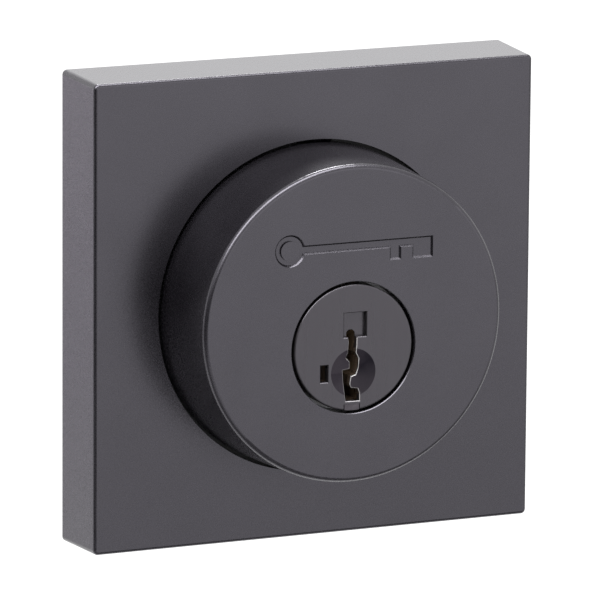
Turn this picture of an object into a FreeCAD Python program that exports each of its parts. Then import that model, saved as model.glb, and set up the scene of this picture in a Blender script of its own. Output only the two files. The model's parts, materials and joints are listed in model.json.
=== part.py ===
import FreeCAD, Part

import math
import os
import re

import Sketcher

# Exterior unit of a deadbolt door lock, in millimetres. The door's surface is the plane y = 0: the
# square rose stands in front of it (negative y) and the tailpiece and posts reach into the door's
# cross bore (positive y). X runs to the right of a person facing the lock, and Z is up. The origin
# is the centre of the rose, on the door's surface.

DIMENSIONS = {
    # square rose, cast hollow, narrower at the front
    "rose_width": 66.7,
    "rose_front_width": 66.0,
    "rose_depth": 10.9,
    "rose_wall": 1.8,
    "rose_corner": 0.7,
    "rose_edge": 0.45,
    "rose_inside_corner": 3.0,
    "rose_hole_radius": 23.5,
    # round collar, tapered, with a cup inside for the lock cylinder, and a ring that retains it
    "collar_axis_height": -0.25,
    "collar_base_radius": 22.95,
    "collar_face_radius": 22.25,
    "collar_front": -24.2,
    "collar_edge": 0.7,
    "collar_wall": 3.2,
    "collar_cup_radius": 14.9,
    "collar_back": -6.8,
    "collar_ring_radius": 26.4,
    "collar_ring_groove_radius": 22.2,
    "collar_ring_front": -9.0,
    "collar_ring_back": -7.4,
    "collar_ring_opening": 16.0,
    "ring_gap": 0.05,
    "mark_depth": 0.3,
    "mark_slope": 40.0,
    # lock cylinder: the plug's axis is below the collar's
    "plug_drop": -3.3,
    "face_hole_radius": 9.25,
    "face_hole_chamfer": 0.1,
    "shell_radius": 12.6,
    "shell_pocket_radius": 12.65,
    "shell_front": -20.9,
    "shell_back": 3.5,
    "bore_radius": 8.3,
    "shell_ear_width": 6.0,
    "shell_ear_thickness": 1.5,
    "shell_ear_gap": 0.1,
    "cylinder_screw_offset": 12.3,
    "cylinder_screw_radius": 1.45,
    "cylinder_screw_head": 2.6,
    "cylinder_screw_head_depth": 1.4,
    "cylinder_screw_length": 8.0,
    "thread_gap": 0.05,
    "screw_gap": 0.15,
    "screw_tip_gap": 0.5,
    "ball_radius": 1.2,
    "ball_circle_radius": 11.0,
    # plug
    "plug_front": -24.15,
    "plug_head_radius": 8.85,
    "plug_head_back": -21.0,
    "plug_radius": 8.25,
    "plug_edge": 0.25,
    "mouth_ease": 0.1,
    "mouth_slope": 45.0,
    "plug_back": 3.6,
    "hub_radius": 6.6,
    "hub_back": 8.6,
    "keyway_back": 1.0,
    "face_disc_radius": 3.35,
    "face_disc_height": -3.5,
    "face_disc_thickness": 1.6,
    "tool_slot_side": -4.35,
    "tool_slot_height": -3.4,
    "tool_slot_width": 1.1,
    "tool_slot_length": 2.4,
    "scoop_left": -1.43,
    "scoop_right": 1.95,
    "scoop_bottom": 1.45,
    "scoop_top": 4.9,
    "scoop_depth": 0.75,
    "insert_left": -1.4,
    "insert_right": 1.05,
    "insert_top": -7.9,
    "insert_depth": 2.4,
    "insert_gap": 0.12,
    "insert_top_gap": 0.02,
    "insert_inset": 0.05,
    # pins and racks
    "first_pin": -17.73,
    "pin_spacing": 3.81,
    "pin_radius": 1.45,
    "pin_channel_radius": 1.5,
    "pin_channel_top": 6.9,
    "pin_channel_bottom": -2.8,
    "pin_tip_height": -2.5,
    "pin_tip_radius": 0.5,
    "pin_shoulder_height": -1.6,
    "pin_top": 2.9,
    "pin_bore_radius": 0.8,
    "pin_bore_floor": -0.6,
    "pin_groove_radius": 1.17,
    "groove_width": 0.32,
    "tooth_pitch": 0.584,
    "tooth_count": 7,
    "first_tooth": -1.2,
    "tooth_tip": -1.27,
    "tooth_width": 0.24,
    "rack_inner": -1.5,
    "rack_outer": -3.0,
    "rack_bottom": -2.0,
    "rack_top": 3.4,
    "rack_width": 1.5,
    "notch_depth": 0.55,
    "notch_width": 1.1,
    # carrier and locking bar
    "carrier_radius": 8.15,
    "carrier_front": -19.4,
    "carrier_back": -0.6,
    "carrier_inner": -1.55,
    "carrier_pocket_inner": -1.22,
    "carrier_step": -2.7,
    "carrier_shelf": -2.8,
    "carrier_bottom": -4.8,
    "carrier_play": 0.1,
    "carrier_pocket_back": 1.5,
    "rack_slot_bottom": -2.1,
    "rack_slot_width": 1.6,
    "rack_slot_outer": -3.1,
    "sidebar_height": 0.9,
    "sidebar_thickness": 1.6,
    "sidebar_nose": -8.05,
    "sidebar_inner": -5.2,
    "sidebar_front": -18.8,
    "sidebar_back": -1.2,
    "sidebar_chamfer": 0.55,
    "sidebar_floor": -4.6,
    "sidebar_end_gap": 0.1,
    "sidebar_side_gap": 0.05,
    "overcut": 0.1,
    "finger_thickness": 0.9,
    "finger_width": 1.2,
    "finger_tip": -3.1,
    "groove_floor": -8.9,
    "groove_front": -19.0,
    "groove_back": 1.0,
    "groove_slope": 0.25,
    "groove_overlap": 0.4,
    # springs
    "spring_play": 0.05,
    "pin_spring_radius": 0.72,
    "pin_spring_wire": 0.3,
    "bar_hole_radius": 0.55,
    "bar_hole_in_carrier": 1.2,
    "bar_hole_in_bar": 1.4,
    "bar_spring_radius": 0.45,
    "bar_spring_wire": 0.2,
    "return_hole_side": -4.6,
    "return_hole_height": -2.9,
    "return_hole_radius": 1.0,
    "return_hole_depth": 6.0,
    "return_spring_radius": 0.85,
    "return_spring_wire": 0.35,
    # tailpiece
    "recess_radius": 5.3,
    "recess_front": 5.4,
    "lug_radius": 3.6,
    "lug_angle": 60.0,
    "lost_motion": 90.0,
    "lug_play": 1.0,
    "cam_radius": 5.22,
    "cam_hub_radius": 3.5,
    "cam_front": 5.5,
    "cam_back": 7.3,
    "blade_radius": 3.2,
    "blade_flat": 0.1,
    "blade_back": 56.0,
    "blade_tip_chamfer": 0.8,
    "clip_groove_radius": 6.05,
    "clip_radius": 9.4,
    "clip_front": 3.75,
    "clip_back": 4.55,
    "clip_opening": 50.0,
    "snap_groove_radius": 5.75,
    "snap_radius": 5.7,
    "snap_inner_radius": 4.3,
    "snap_front": 7.4,
    "snap_back": 8.1,
    "snap_opening": 40.0,
    # chassis plate, posts and gasket
    "chassis_width": 56.0,
    "chassis_corner": 4.0,
    "chassis_front": -3.2,
    "chassis_back": -1.6,
    "chassis_hole_radius": 13.2,
    "boss_offset": 14.5,
    "boss_radius": 2.4,
    "boss_bore_radius": 1.3,
    "boss_bore_depth": 6.0,
    "chassis_screw_radius": 1.25,
    "chassis_screw_hole": 1.6,
    "chassis_screw_head": 2.7,
    "chassis_screw_head_depth": 1.3,
    "chassis_screw_length": 7.0,
    "post_spacing": 38.1,
    "post_radius": 3.9,
    "post_back": 14.0,
    "post_flange_radius": 5.2,
    "post_flange_back": -0.4,
    "post_spigot_radius": 2.6,
    "post_rivet_radius": 3.6,
    "post_rivet_front": -4.3,
    "post_rivet_edge": 0.5,
    "post_thread_radius": 1.9,
    "post_thread_depth": 13.0,
    "post_chamfer": 0.5,
    "gasket_gap": 0.15,
    "gasket_inside_width": 57.0,
    "gasket_front": -3.0,
    "gasket_back": -0.1,
}

# Outline of the keyway, from its top and clockwise, measured from the plug's axis.
KEYWAY = [
    (-0.42, 2.42), (0.10, 2.42), (0.44, 2.12), (0.52, 1.75), (0.50, 0.22), (0.40, -0.76),
    (0.83, -1.58), (0.74, -2.87), (0.39, -3.82), (-0.34, -4.03), (-0.51, -5.13), (-0.29, -5.64),
    (0.72, -5.78), (0.98, -6.44), (1.00, -7.55), (-1.07, -7.50), (-1.19, -6.85), (-1.46, -4.96),
    (-1.58, -3.07), (-0.53, -2.96), (-0.54, -1.96), (-1.07, -1.43), (-0.80, -0.66), (-0.67, 0.71),
    (-0.80, 1.75), (-0.74, 2.14),
]

# Plain key sign in the collar's face: a ring, a stem and two bits, measured from the collar's axis.
# These are the sizes of its floor, from which its walls slope outwards.
MARK_HEIGHT = 10.9
MARK_RING_CENTRE = -9.6
MARK_RING_RADIUS = 2.0
MARK_RING_HOLE = 1.1
MARK_STEM = (-7.7, 11.6)
MARK_STEM_WIDTH = 0.8
MARK_BITS = [(5.6, 6.8), (9.0, 11.6)]
MARK_BIT_DEPTH = 1.7

# The direction that each origin plane's normal points in.
PLANE_NORMALS = {"XZ_Plane": "front", "XY_Plane": "up", "YZ_Plane": "right"}
PIN_COUNT = 5

# The hardened balls round the plug, in degrees: lower left, lower right and top.
BALL_ANGLES = (210.0, 330.0, 90.0)

# Screw heads: rounding and recess depth as shares of the head's depth, and the recess's arms as
# shares of its radius.
HEAD_ROUNDING = 0.5
CROSS_DEPTH = 0.7
CROSS_LENGTH = 1.15
CROSS_WIDTH = 0.3

# Further from the axis than any piece of the cylinder reaches.
FAR = 12.0

doc = FreeCAD.newDocument("DeadboltLock")
sheet = doc.addObject("Spreadsheet::Sheet", "Dimensions")
for row, (alias, number) in enumerate(DIMENSIONS.items(), start=1):
    sheet.set(f"A{row}", alias.replace("_", " "))
    sheet.set(f"B{row}", str(number))
    sheet.setAlias(f"B{row}", alias)
doc.recompute()

nodes = []


def value(text):
    """The number that a formula of the sheet's aliases gives."""
    return float(sheet.evalExpression(str(text)))


def bind(item, setting, text):
    """Bind one setting of an object to a formula of the sheet's aliases."""
    named = re.sub(
        r"[a-z]\w*",
        lambda word: f"Dimensions.{word[0]}" if word[0] in DIMENSIONS else word[0],
        str(text),
    )
    item.setExpression(setting, named)


def place(item, x="0", y="0", z="0"):
    for axis, text in (("x", x), ("y", y), ("z", z)):
        bind(item, f"Placement.Base.{axis}", text)


def new_body(label, x="0", y="0", z="0", several=False):
    body = doc.addObject("PartDesign::Body", label)
    body.Label = label
    body.AllowCompound = several
    place(body, x, y, z)
    nodes.append(body)
    return body


def collar_body_at(label, **options):
    """A body whose own origin is on the collar's axis."""
    return new_body(label, z="collar_axis_height", **options)


def plug_body_at(label, y="0", x="0", **options):
    """A body whose own origin is on the plug's axis."""
    return new_body(label, x=x, y=y, z="collar_axis_height + plug_drop", **options)


def new_sketch(body, plane, level="0"):
    """A sketch on one of the body's origin planes, moved to a level along the matching axis."""
    sketch = body.newObject("Sketcher::SketchObject", body.Label + "_sketch")
    support = next(item for item in body.Origin.OriginFeatures if item.Role == plane)
    sketch.AttachmentSupport = (support, [""])
    sketch.MapMode = "FlatFace"
    sign = "-" if plane == "XZ_Plane" else ""
    bind(sketch, "AttachmentOffset.Base.z", f"{sign}({level})")
    return sketch


def pin_down(sketch, geometry, point, across, up):
    """Bind a sketch point's two distances from the sketch's origin."""
    for kind, text in (("DistanceX", across), ("DistanceY", up)):
        limit = Sketcher.Constraint(kind, -1, 1, geometry, point, value(text))
        bind(sketch, f"Constraints[{sketch.addConstraint(limit)}]", text)


def circle(sketch, radius, across="0", up="0"):
    centre = FreeCAD.Vector(value(across), value(up), 0)
    shape = Part.Circle(centre, FreeCAD.Vector(0, 0, 1), value(radius))
    geometry = sketch.addGeometry(shape)
    limit = Sketcher.Constraint("Radius", geometry, value(radius))
    bind(sketch, f"Constraints[{sketch.addConstraint(limit)}]", radius)
    pin_down(sketch, geometry, 3, across, up)


def outline(sketch, points):
    """A closed run of straight lines through points given as formulas or numbers."""
    corners = [FreeCAD.Vector(value(across), value(up), 0) for across, up in points]
    lines = []
    for start, end in zip(corners, corners[1:] + corners[:1]):
        lines.append(sketch.addGeometry(Part.LineSegment(start, end)))
    for line, following in zip(lines, lines[1:] + lines[:1]):
        sketch.addConstraint(Sketcher.Constraint("Coincident", line, 2, following, 1))
    for line, (across, up) in zip(lines, points):
        pin_down(sketch, line, 1, across, up)


def rectangle(sketch, left, right, bottom, top):
    outline(sketch, [(left, bottom), (right, bottom), (right, top), (left, top)])


def square(sketch, width):
    rectangle(sketch, f"-({width}) / 2", f"({width}) / 2", f"-({width}) / 2", f"({width}) / 2")


def cross(sketch, across, up, span, width):
    """The outline of a cross recess."""
    far = span / 2
    near = width / 2
    corners = [
        (-near, -far), (near, -far), (near, -near), (far, -near), (far, near), (near, near),
        (near, far), (-near, far), (-near, near), (-far, near), (-far, -near), (-near, -near),
    ]
    outline(sketch, [(f"{across} + {x}", f"{up} + {z}") for x, z in corners])


def extrude(kind, body, sketch, length, direction, taper=None):
    """Pad or pocket a sketch towards the front, rear, left, right, top or bottom."""
    last_volume = None if body.Shape.isNull() else body.Shape.Volume
    feature = body.newObject("PartDesign::" + kind, f"{body.Label}_{kind.lower()}")
    feature.Profile = sketch
    bind(feature, "Length", length)
    if taper:
        bind(feature, "TaperAngle", taper)
    along = direction == PLANE_NORMALS[sketch.AttachmentSupport[0][0].Role]
    feature.Reversed = along == (kind == "Pocket")
    doc.recompute()
    if "Invalid" in feature.State:
        raise RuntimeError(f"{feature.Label} failed")
    if kind == "Pocket" and body.Shape.Volume >= last_volume - 1e-9:
        raise RuntimeError(f"{feature.Label} cuts nothing")
    return feature


def pad(body, sketch, length, direction, taper=None):
    return extrude("Pad", body, sketch, length, direction, taper)


def pocket(body, sketch, length, direction, taper=None):
    return extrude("Pocket", body, sketch, length, direction, taper)


def mouth_sketch(body):
    """A sketch just under the plug's face, whose outline ease_mouth widens out to the face."""
    return new_sketch(body, "XZ_Plane", "plug_front + mouth_ease")


def ease_mouth(body, sketch):
    pocket(body, sketch, "mouth_ease", "front", "mouth_slope")


def turn(kind, body, sketch, axis):
    """Revolve or groove a sketch a full turn about one of its own axes."""
    feature = body.newObject("PartDesign::" + kind, f"{body.Label}_{kind.lower()}")
    feature.Profile = sketch
    feature.ReferenceAxis = (sketch, [axis])
    feature.Angle = 360
    doc.recompute()
    return feature


def ease(kind, body, setting, size, chosen):
    """Fillet or chamfer the edges of the body that a test chooses."""
    base = body.Tip
    names = [
        f"Edge{number}"
        for number, edge in enumerate(base.Shape.Edges, start=1)
        if chosen(edge)
    ]
    feature = body.newObject("PartDesign::" + kind, f"{body.Label}_{kind.lower()}")
    feature.Base = (base, names)
    bind(feature, setting, size)
    doc.recompute()
    return feature


def fillet(body, size, chosen):
    return ease("Fillet", body, "Radius", size, chosen)


def chamfer(body, size, chosen):
    return ease("Chamfer", body, "Size", size, chosen)


def lies_at(edge, y):
    """Whether every end and the middle of an edge is at one depth."""
    ends = [vertex.Point.y for vertex in edge.Vertexes]
    middle = edge.valueAt((edge.FirstParameter + edge.LastParameter) / 2).y
    return all(abs(depth - y) < 1e-4 for depth in ends + [middle])


def runs_deep(edge):
    """Whether an edge leads from front to back."""
    box = edge.BoundBox
    return box.YLength > max(box.XLength, box.ZLength)


def is_round(edge, radius):
    return hasattr(edge.Curve, "Radius") and abs(edge.Curve.Radius - radius) < 1e-4


def pin_depths():
    """Each pin's depth along the plug, as a formula."""
    return [f"first_pin + {number} * pin_spacing" for number in range(PIN_COUNT)]


def make_rose():
    body = new_body("rose_plate")
    sketch = new_sketch(body, "XZ_Plane")
    square(sketch, "rose_width")
    taper = "-atan((rose_width - rose_front_width) / 2 / rose_depth)"
    pad(body, sketch, "rose_depth", "front", taper)
    fillet(body, "rose_corner", runs_deep)
    front = -value("rose_depth")
    fillet(body, "rose_edge", lambda edge: lies_at(edge, front))
    sketch = new_sketch(body, "XZ_Plane")
    square(sketch, "rose_width - 2 * rose_wall")
    pocket(body, sketch, "rose_depth - rose_wall", "front")
    inside = value("rose_width / 2 - rose_wall")

    def is_inside_corner(edge):
        box = edge.BoundBox
        at_corner = abs(abs(box.Center.x) - inside) < 0.01 and abs(abs(box.Center.z) - inside) < 0.01
        return runs_deep(edge) and at_corner

    fillet(body, "rose_inside_corner", is_inside_corner)
    sketch = new_sketch(body, "XZ_Plane")
    circle(sketch, "rose_hole_radius", "0", "collar_axis_height")
    pocket(body, sketch, "rose_depth + 1", "front")


def make_collar():
    body = collar_body_at("guard_collar")
    sketch = new_sketch(body, "YZ_Plane")
    outline(sketch, [
        ("collar_front", "0"),
        ("collar_front", "collar_face_radius"),
        ("-rose_depth", "collar_base_radius"),
        ("collar_ring_front - ring_gap", "collar_base_radius"),
        ("collar_ring_front - ring_gap", "collar_ring_groove_radius"),
        ("collar_ring_back + ring_gap", "collar_ring_groove_radius"),
        ("collar_ring_back + ring_gap", "collar_base_radius"),
        ("collar_back", "collar_base_radius"),
        ("collar_back", "0"),
    ])
    turn("Revolution", body, sketch, "H_Axis")
    fillet(body, "collar_edge", lambda edge: lies_at(edge, value("collar_front")))
    # hollow between the outer wall and the cylinder's cup
    sketch = new_sketch(body, "XZ_Plane", "collar_back")
    circle(sketch, "collar_face_radius - collar_wall")
    circle(sketch, "collar_cup_radius", "0", "plug_drop")
    pocket(body, sketch, "collar_back - collar_front - collar_wall", "front")
    # bosses for the cylinder's screws
    sketch = new_sketch(body, "XZ_Plane", "collar_back")
    for across, up in ear_places():
        circle(sketch, "shell_ear_width / 2", across, f"plug_drop + {up}")
    pad(body, sketch, "collar_back - collar_front - collar_wall", "front")
    # the cup, with the hole that the plug shows through
    sketch = new_sketch(body, "XZ_Plane", "collar_back")
    circle(sketch, "shell_pocket_radius", "0", "plug_drop")
    pocket(body, sketch, "collar_back - collar_front - collar_wall", "front")
    sketch = new_sketch(body, "XZ_Plane", "collar_front + collar_wall")
    circle(sketch, "face_hole_radius", "0", "plug_drop")
    pocket(body, sketch, "collar_wall + 1", "front")
    hole = value("face_hole_radius")
    front = value("collar_front")
    chamfer(body, "face_hole_chamfer", lambda edge: is_round(edge, hole) and lies_at(edge, front))
    # threaded holes for the cylinder's screws
    sketch = new_sketch(body, "XZ_Plane", "collar_back")
    for across, up in ear_places():
        circle(sketch, "cylinder_screw_radius + thread_gap", across, f"plug_drop + {up}")
    pocket(body, sketch, "cylinder_screw_length", "front")
    # pockets for the hardened balls
    sketch = new_sketch(body, "XZ_Plane", "collar_front + collar_wall")
    for across, up in ball_places():
        circle(sketch, "ball_radius + thread_gap", across, f"plug_drop + {up}")
    pocket(body, sketch, "2 * ball_radius + thread_gap", "front")
    # bosses that carry the chassis plate
    sketch = new_sketch(body, "XZ_Plane", "collar_back")
    for across, up in corner_places():
        circle(sketch, "boss_radius", across, up)
    pad(body, sketch, "chassis_front - collar_back", "rear")
    sketch = new_sketch(body, "XZ_Plane", "chassis_front")
    for across, up in corner_places():
        circle(sketch, "boss_bore_radius", across, up)
    pocket(body, sketch, "boss_bore_depth", "front")
    cut_key_sign(body)


def cut_key_sign(body):
    """A plain key, sunk in the collar's face above the plug."""
    sketch = new_sketch(body, "XZ_Plane", "collar_front + mark_depth")
    circle(sketch, MARK_RING_RADIUS, MARK_RING_CENTRE, MARK_HEIGHT)
    circle(sketch, MARK_RING_HOLE, MARK_RING_CENTRE, MARK_HEIGHT)
    pocket(body, sketch, "mark_depth", "front", "mark_slope")
    stem_bottom = MARK_HEIGHT - MARK_STEM_WIDTH / 2
    stem_top = MARK_HEIGHT + MARK_STEM_WIDTH / 2
    points = [(MARK_STEM[0], stem_top), (MARK_STEM[0], stem_bottom)]
    for left, right in MARK_BITS:
        points += [(left, stem_bottom), (left, stem_bottom - MARK_BIT_DEPTH)]
        points += [(right, stem_bottom - MARK_BIT_DEPTH)]
        if right < MARK_STEM[1]:
            points += [(right, stem_bottom)]
    points += [(MARK_STEM[1], stem_top)]
    sketch = new_sketch(body, "XZ_Plane", "collar_front + mark_depth")
    outline(sketch, points)
    pocket(body, sketch, "mark_depth", "front", "mark_slope")


def ball_places():
    """The balls' places, from the plug's axis."""
    places = []
    for angle in BALL_ANGLES:
        across = f"ball_circle_radius * {math.cos(math.radians(angle)):.6f}"
        up = f"ball_circle_radius * {math.sin(math.radians(angle)):.6f}"
        places.append((across, up))
    return places


def ear_places():
    """The cylinder's two screws, from the plug's axis."""
    return [(f"{side}cylinder_screw_offset", "cylinder_screw_offset") for side in ("-", "")]


def corner_places():
    return [
        (f"{side}boss_offset", f"{end}boss_offset")
        for side in ("-", "")
        for end in ("-", "")
    ]


def make_balls():
    balls = []
    for number, (across, up) in enumerate(ball_places(), start=1):
        ball = doc.addObject("Part::Sphere", f"drill_guard_ball_{number}")
        bind(ball, "Radius", "ball_radius")
        up = f"collar_axis_height + plug_drop + {up}"
        place(ball, across, "collar_front + collar_wall - ball_radius", up)
        balls.append(ball)
    group = doc.addObject("Part::Compound", "drill_guard_balls")
    group.Label = "drill_guard_balls"
    group.Links = balls
    nodes.append(group)


def make_shell():
    body = plug_body_at("cylinder_shell")
    sketch = new_sketch(body, "XZ_Plane", "shell_back")
    circle(sketch, "shell_radius")
    pad(body, sketch, "shell_back - shell_front", "front")
    # two ears above the cylinder, screwed to the collar
    sketch = new_sketch(body, "XZ_Plane", "collar_back + shell_ear_gap")
    half = "shell_ear_width / sqrt(8)"
    for side in (-1, 1):
        outline(sketch, [
            (f"{side} * ({half})", f"-({half})"),
            (f"{side} * (cylinder_screw_offset + {half})", f"cylinder_screw_offset - {half}"),
            (f"{side} * (cylinder_screw_offset - {half})", f"cylinder_screw_offset + {half}"),
            (f"-{side} * ({half})", half),
        ])
    pad(body, sketch, "shell_ear_thickness", "rear")
    sketch = new_sketch(body, "XZ_Plane", "collar_back + shell_ear_gap")
    for across, up in ear_places():
        circle(sketch, "shell_ear_width / 2", across, up)
    pad(body, sketch, "shell_ear_thickness", "rear")
    sketch = new_sketch(body, "XZ_Plane", "shell_back")
    circle(sketch, "bore_radius")
    pocket(body, sketch, "shell_back - shell_front + 1", "front")
    sketch = new_sketch(body, "XZ_Plane", "collar_back")
    for across, up in ear_places():
        circle(sketch, "cylinder_screw_radius + screw_gap", across, up)
    pocket(body, sketch, "shell_ear_thickness + 1", "rear")
    # grooves that the locking bar's nose drops into, at nine and at twelve o'clock
    mouth = "bore_radius - groove_overlap"
    half_mouth = "sidebar_thickness / 2 + groove_slope"
    half_floor = "sidebar_thickness / 2 - groove_slope"
    sides = [
        (f"-({mouth})", f"sidebar_height - ({half_mouth})"),
        (f"-({mouth})", f"sidebar_height + {half_mouth}"),
        ("groove_floor", f"sidebar_height + {half_floor}"),
        ("groove_floor", f"sidebar_height - ({half_floor})"),
    ]
    for turned in (False, True):
        sketch = new_sketch(body, "XZ_Plane", "groove_back")
        outline(sketch, [(up, f"-({across})") for across, up in sides] if turned else sides)
        pocket(body, sketch, "groove_back - groove_front", "front")


def make_cylinder_screws():
    body = plug_body_at("cylinder_screws", several=True)
    seat = "collar_back + shell_ear_gap + shell_ear_thickness"
    make_screws(
        body,
        ear_places(),
        seat,
        "cylinder_screw_radius",
        "cylinder_screw_length + shell_ear_thickness - screw_tip_gap",
        "cylinder_screw_head",
        "cylinder_screw_head_depth",
    )


def make_screws(body, places, seat, shank, length, head, head_depth):
    """Pan-head screws with cross recesses, put in from the rear with their heads on one seat."""
    sketch = new_sketch(body, "XZ_Plane", seat)
    for across, up in places:
        circle(sketch, head, across, up)
    pad(body, sketch, head_depth, "rear")
    back = value(f"{seat} + {head_depth}")
    head_radius = value(head)

    def is_rim(edge):
        return is_round(edge, head_radius) and lies_at(edge, back)

    fillet(body, f"{head_depth} * {HEAD_ROUNDING}", is_rim)
    sketch = new_sketch(body, "XZ_Plane", seat)
    for across, up in places:
        circle(sketch, shank, across, up)
    pad(body, sketch, length, "front")
    sketch = new_sketch(body, "XZ_Plane", f"{seat} + {head_depth}")
    for across, up in places:
        cross(sketch, across, up, value(head) * CROSS_LENGTH, value(head) * CROSS_WIDTH)
    pocket(body, sketch, f"{head_depth} * {CROSS_DEPTH}", "front")


def make_plug():
    body = plug_body_at("plug_body")
    sketch = new_sketch(body, "XZ_Plane", "plug_head_back")
    circle(sketch, "plug_head_radius")
    pad(body, sketch, "plug_head_back - plug_front", "front")
    front = value("plug_front")
    fillet(body, "plug_edge", lambda edge: lies_at(edge, front))
    sketch = new_sketch(body, "XZ_Plane", "plug_head_back")
    circle(sketch, "plug_radius")
    pad(body, sketch, "plug_back - plug_head_back", "rear")
    sketch = new_sketch(body, "XZ_Plane", "plug_back")
    circle(sketch, "hub_radius")
    pad(body, sketch, "hub_back - plug_back", "rear")
    cut_plug_face(body)
    cut_pin_channels(body)
    cut_carrier_pocket(body)
    cut_tailpiece_recess(body)


def cut_plug_face(body):
    """Everything that is cut into the plug from its face."""
    sketch = new_sketch(body, "XZ_Plane", "plug_front")
    outline(sketch, KEYWAY)
    pocket(body, sketch, "keyway_back - plug_front", "rear")
    sketch = mouth_sketch(body)
    outline(sketch, KEYWAY)
    ease_mouth(body, sketch)
    sketch = new_sketch(body, "XZ_Plane", "plug_front")
    circle(sketch, "face_disc_radius", "0", "face_disc_height")
    pocket(body, sketch, "face_disc_thickness", "rear")
    # the tool slot beside the keyway, and the scoop above it
    tool_slot = (
        "tool_slot_side - tool_slot_width / 2",
        "tool_slot_side + tool_slot_width / 2",
        "tool_slot_height - tool_slot_length / 2",
        "tool_slot_height + tool_slot_length / 2",
    )
    scoop = ("scoop_left", "scoop_right", "scoop_bottom", "scoop_top")
    for sides, depth in ((tool_slot, "carrier_front - plug_front"), (scoop, "scoop_depth")):
        sketch = new_sketch(body, "XZ_Plane", "plug_front")
        rectangle(sketch, *sides)
        pocket(body, sketch, depth, "rear")
        sketch = mouth_sketch(body)
        rectangle(sketch, *sides)
        ease_mouth(body, sketch)
    # notch for the insert under the keyway
    sketch = new_sketch(body, "XZ_Plane", "plug_front")
    rectangle(sketch, "insert_left", "insert_right", "-plug_head_radius - 1", "insert_top")
    pocket(body, sketch, "insert_depth", "rear")


def cut_pin_channels(body):
    sketch = new_sketch(body, "XY_Plane", "pin_channel_top")
    for depth in pin_depths():
        circle(sketch, "pin_channel_radius", "0", depth)
    pocket(body, sketch, "pin_channel_top - pin_channel_bottom", "down")


def cut_carrier_pocket(body):
    """The side of the plug that the carrier fills, open all along the pins."""
    sketch = new_sketch(body, "XZ_Plane", "carrier_pocket_back")
    edge = "carrier_pocket_inner"
    step = "carrier_step + carrier_play"
    outline(sketch, [
        (edge, FAR),
        (edge, "carrier_shelf - carrier_play"),
        (step, "carrier_shelf - carrier_play"),
        (step, "carrier_bottom - carrier_play"),
        (-FAR, "carrier_bottom - carrier_play"),
        (-FAR, FAR),
    ])
    pocket(body, sketch, "carrier_pocket_back - carrier_front + carrier_play", "front")


def cut_tailpiece_recess(body):
    """The recess in the hub's end, with one lug left standing, and the two clips' grooves."""
    sketch = new_sketch(body, "XZ_Plane", "hub_back")
    circle(sketch, "lug_radius")
    pocket(body, sketch, "hub_back - recess_front", "front")
    add_sector_cut(body, "recess_radius", "recess_front", "hub_back - recess_front")
    sketch = new_sketch(body, "XZ_Plane", "hub_back")
    circle(sketch, "recess_radius")
    pocket(body, sketch, "hub_back - cam_back", "front")
    sketch = new_sketch(body, "YZ_Plane")
    rectangle(sketch, "clip_front - ring_gap", "clip_back + ring_gap", "clip_groove_radius", "hub_radius + 1")
    turn("Groove", body, sketch, "H_Axis")
    sketch = new_sketch(body, "YZ_Plane")
    rectangle(sketch, "snap_front - ring_gap", "snap_back + ring_gap", "lug_radius", "snap_groove_radius")
    turn("Groove", body, sketch, "H_Axis")


def add_sector_cut(body, radius, front, depth):
    """Cut a part turn of a cylinder, leaving the lug at the bottom."""
    cut = body.newObject("PartDesign::SubtractiveCylinder", body.Label + "_recess")
    support = next(item for item in body.Origin.OriginFeatures if item.Role == "XZ_Plane")
    cut.AttachmentSupport = (support, [""])
    cut.MapMode = "FlatFace"
    bind(cut, "Radius", radius)
    bind(cut, "Height", depth)
    bind(cut, "Angle", "360 - lug_angle")
    cut.AttachmentOffset = FreeCAD.Placement(
        FreeCAD.Vector(0, 0, 0),
        FreeCAD.Rotation(FreeCAD.Vector(0, 0, 1), -90 + value("lug_angle") / 2),
    )
    bind(cut, "AttachmentOffset.Base.z", f"-({front}) - ({depth})")
    doc.recompute()


def make_face_guards():
    """Two hardened segments of one disc, one on each side of the keyway."""
    body = plug_body_at("plug_face_guards", several=True)
    sketch = new_sketch(body, "XZ_Plane", "plug_front + face_disc_thickness")
    circle(sketch, "face_disc_radius", "0", "face_disc_height")
    pad(body, sketch, "face_disc_thickness", "front")
    sketch = new_sketch(body, "XZ_Plane", "plug_front")
    outline(sketch, KEYWAY)
    pocket(body, sketch, "face_disc_thickness + 1", "rear")
    sketch = mouth_sketch(body)
    outline(sketch, KEYWAY)
    ease_mouth(body, sketch)


def make_face_insert():
    body = plug_body_at("plug_face_insert")
    sketch = new_sketch(body, "XZ_Plane", "plug_front + insert_depth")
    circle(sketch, "plug_head_radius - insert_inset")
    pad(body, sketch, "insert_depth", "front")
    sketch = new_sketch(body, "XZ_Plane", "plug_front")
    rectangle(sketch, -FAR, "insert_left + insert_gap", -FAR, FAR)
    pocket(body, sketch, "insert_depth + 1", "rear")
    sketch = new_sketch(body, "XZ_Plane", "plug_front")
    rectangle(sketch, "insert_right - insert_gap", FAR, -FAR, FAR)
    pocket(body, sketch, "insert_depth + 1", "rear")
    sketch = new_sketch(body, "XZ_Plane", "plug_front")
    rectangle(sketch, -FAR, FAR, "insert_top - insert_top_gap", FAR)
    pocket(body, sketch, "insert_depth + 1", "rear")


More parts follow.
